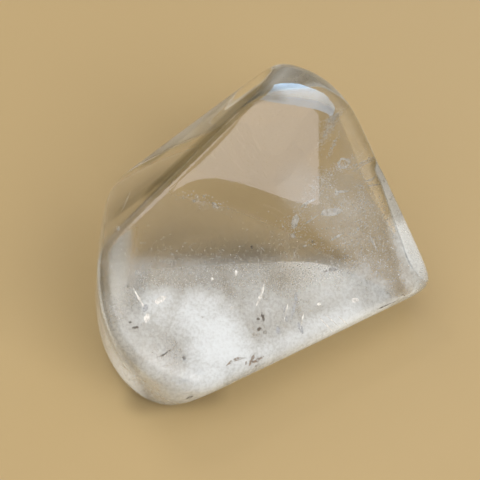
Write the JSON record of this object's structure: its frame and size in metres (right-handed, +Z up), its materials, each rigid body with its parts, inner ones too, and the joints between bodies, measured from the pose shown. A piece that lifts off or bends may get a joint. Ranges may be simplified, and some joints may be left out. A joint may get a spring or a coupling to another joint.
{
  "type": "clear quartz tumbled stone",
  "caption": "Tumbled and polished piece of clear quartz, a rounded wedge with soft ridges, a blunt top and one broad worn end, that rests on a flat face.",
  "frame": {"origin": "middle of the box's base, on the plane that the stone rests on", "axes": "+Z up from the resting face, +X to the viewer's right and +Y away from the viewer as the stone is seen from its broad sloping face"},
  "size_m": [0.0298, 0.0294, 0.0186],
  "materials": {
    "clear_quartz": "polished, see-through, colourless to faintly warm, with milky veils and fine cracks inside"
  },
  "bodies": {
    "root": {"quartz": "clear_quartz"}
  },
  "joints": []
}
